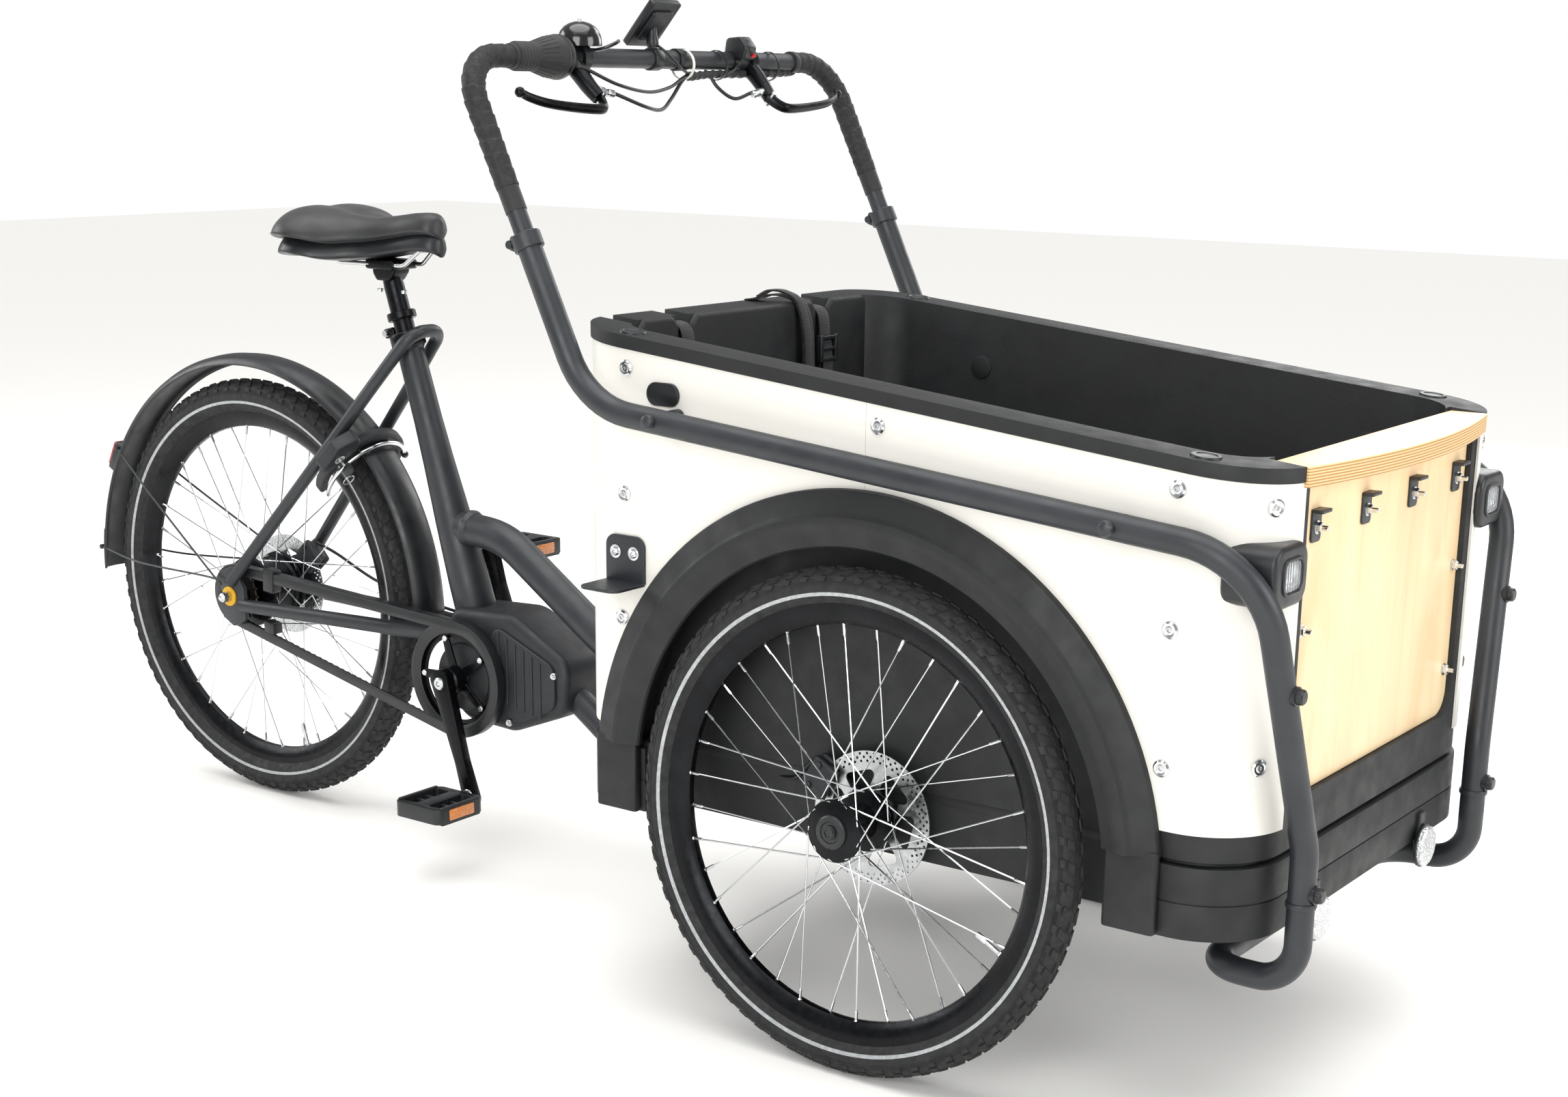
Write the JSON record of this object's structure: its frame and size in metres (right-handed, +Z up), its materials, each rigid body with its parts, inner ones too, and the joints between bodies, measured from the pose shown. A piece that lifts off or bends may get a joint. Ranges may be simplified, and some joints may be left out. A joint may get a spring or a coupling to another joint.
{
  "type": "cargo tricycle",
  "caption": "Electric box tricycle: steered cargo box with front wheels and raised bar, rear drive wheel with mid motor, enclosed chain, saddle and frame lock.",
  "frame": {"origin": "on the ground under the middle of the overall box", "axes": "+X forward, +Y to the rider's left, +Z up"},
  "size_m": [2.2747, 0.7974, 1.2275],
  "materials": {
    "black_paint": "satin black powder coat",
    "moulded_black": "grained moulded polyethylene",
    "black_alloy": "black anodised",
    "steel": "bright steel",
    "tyre_rubber": "black tyre rubber with a grey reflective stripe",
    "grip_rubber": "soft black rubber",
    "white_panel": "white laminate",
    "birch_ply": "clear-sealed birch plywood",
    "saddle_cover": "black grained cover"
  },
  "bodies": {
    "rear_frame": {"seat_tube": "black_paint", "head_tube": "black_paint", "motor_housing": "moulded_black", "upper_main_tube": "black_paint", "lower_main_tube": "black_paint", "seat_stays": "black_paint", "chainstay_right": "black_paint", "chainstay_left": "black_paint", "rear_axle": "steel", "chain_case": "moulded_black", "drive_chain": "steel", "rear_mudguard": "moulded_black", "frame_lock": "moulded_black"},
    "rear_wheel": {"rear_tyre": "tyre_rubber", "rear_rim": "black_alloy", "rear_hub": "black_alloy", "rear_rotor": "steel"},
    "rear_sprocket": {"rear_sprocket": "steel"},
    "lock_shackle": {"lock_shackle": "steel"},
    "lock_key": {"lock_key": "steel"},
    "seat": {"seat_post": "black_alloy", "saddle": "saddle_cover"},
    "cranks": {"chainring": "black_alloy", "crank_right": "black_alloy", "crank_left": "black_alloy"},
    "pedal_right": {"pedal_right": "moulded_black"},
    "pedal_left": {"pedal_left": "moulded_black"},
    "front_chassis": {"cargo_tub": "moulded_black", "chassis_beam": "black_paint", "lower_skirt": "moulded_black", "steering_pin": "steel", "rear_panel_right": "white_panel", "front_panel_right": "white_panel", "rear_panel_left": "white_panel", "front_panel_left": "white_panel", "wheel_arch_right": "moulded_black", "wheel_arch_left": "moulded_black", "side_tube_right": "black_paint", "side_tube_left": "black_paint", "headlamp_right": "moulded_black", "headlamp_left": "moulded_black", "lower_bumper": "black_paint", "ply_panel": "birch_ply", "ply_cap": "birch_ply", "shelf_bracket": "black_paint"},
    "front_wheel_right": {"front_tyre_right": "tyre_rubber", "front_rim_right": "black_alloy", "front_hub_right": "black_alloy", "front_rotor_right": "steel"},
    "front_wheel_left": {"front_tyre_left": "tyre_rubber", "front_rim_left": "black_alloy", "front_hub_left": "black_alloy", "front_rotor_left": "steel"},
    "handlebar": {"handlebar": "black_paint", "bell": "black_alloy"},
    "twist_grip": {"twist_grip": "grip_rubber"},
    "brake_lever_right": {"brake_lever_right": "black_alloy"},
    "brake_lever_left": {"brake_lever_left": "black_alloy"},
    "bell_lever": {"bell_lever": "black_alloy"},
    "display": {"display": "moulded_black"}
  },
  "joints": [
    {"name": "steer", "type": "hinge", "parent": "rear_frame", "child": "front_chassis", "pos_m": [0.11735, 0, 0.27], "axis": [0, 0, 1], "range_deg": [-40, 40]},
    {"name": "front_wheel_right_spin", "type": "hinge", "parent": "front_chassis", "child": "front_wheel_right", "pos_m": [0.60835, -0.35, 0.30021], "axis": [0, 0.999, -0.0436], "continuous": true},
    {"name": "front_wheel_left_spin", "type": "hinge", "parent": "front_chassis", "child": "front_wheel_left", "pos_m": [0.60835, 0.35, 0.30021], "axis": [0, 0.999, 0.0436], "continuous": true},
    {"name": "rear_wheel_spin", "type": "hinge", "parent": "rear_frame", "child": "rear_wheel", "pos_m": [-0.76665, 0, 0.3345], "axis": [0, 1, 0], "continuous": true},
    {"name": "crank_spin", "type": "hinge", "parent": "rear_frame", "child": "cranks", "pos_m": [-0.29665, 0, 0.271], "axis": [0, 1, 0], "continuous": true},
    {"name": "sprocket_spin", "type": "hinge", "parent": "rear_frame", "child": "rear_sprocket", "pos_m": [-0.76665, -0.055, 0.3345], "axis": [0, 1, 0], "continuous": true},
    {"name": "pedal_right_spin", "type": "hinge", "parent": "cranks", "child": "pedal_right", "pos_m": [-0.24553, -0.15, 0.10887], "axis": [0, 1, 0], "continuous": true},
    {"name": "pedal_left_spin", "type": "hinge", "parent": "cranks", "child": "pedal_left", "pos_m": [-0.34777, 0.15, 0.43313], "axis": [0, 1, 0], "continuous": true},
    {"name": "seat_height", "type": "slide", "parent": "rear_frame", "child": "seat", "axis": [-0.305, 0, 0.9523], "range_m": [-0.06, 0.1]},
    {"name": "lock_shackle_turn", "type": "hinge", "parent": "rear_frame", "child": "lock_shackle", "pos_m": [-0.55748, 0, 0.57003], "axis": [0.7477, 0, -0.664], "range_deg": [0, 100]},
    {"name": "lock_key_turn", "type": "hinge", "parent": "rear_frame", "child": "lock_key", "pos_m": [-0.50528, -0.076, 0.57716], "axis": [0.7477, 0, -0.664], "range_deg": [0, 90]},
    {"name": "handlebar_height", "type": "slide", "parent": "front_chassis", "child": "handlebar", "axis": [-0.4327, 0, 0.9015], "range_m": [-0.05, 0.045]},
    {"name": "twist_grip_turn", "type": "hinge", "parent": "handlebar", "child": "twist_grip", "pos_m": [0.04851, -0.24, 1.152], "axis": [0, 1, 0], "range_deg": [-60, 60]},
    {"name": "brake_right_pull", "type": "hinge", "parent": "handlebar", "child": "brake_lever_right", "pos_m": [0.09535, -0.178, 1.103], "axis": [-0.6712, 0, -0.7413], "range_deg": [0, 14], "stiffness_Nm_per_rad": 2, "springref_deg": -8.59},
    {"name": "brake_left_pull", "type": "hinge", "parent": "handlebar", "child": "brake_lever_left", "pos_m": [0.09535, 0.178, 1.103], "axis": [0.6712, 0, 0.7413], "range_deg": [0, 14], "stiffness_Nm_per_rad": 2, "springref_deg": -8.59},
    {"name": "bell_lever_flick", "type": "hinge", "parent": "handlebar", "child": "bell_lever", "pos_m": [0.07535, -0.163, 1.161], "axis": [0, 0, 1], "range_deg": [0, 15], "stiffness_Nm_per_rad": 0.05, "springref_deg": -17.19},
    {"name": "display_tilt", "type": "hinge", "parent": "handlebar", "child": "display", "pos_m": [0.04851, -0.018, 1.166], "axis": [0, 1, 0], "range_deg": [-12, 20]}
  ],
  "couplings": [
    {"joint": "sprocket_spin", "follows": "crank_spin", "ratio": 2}
  ]
}
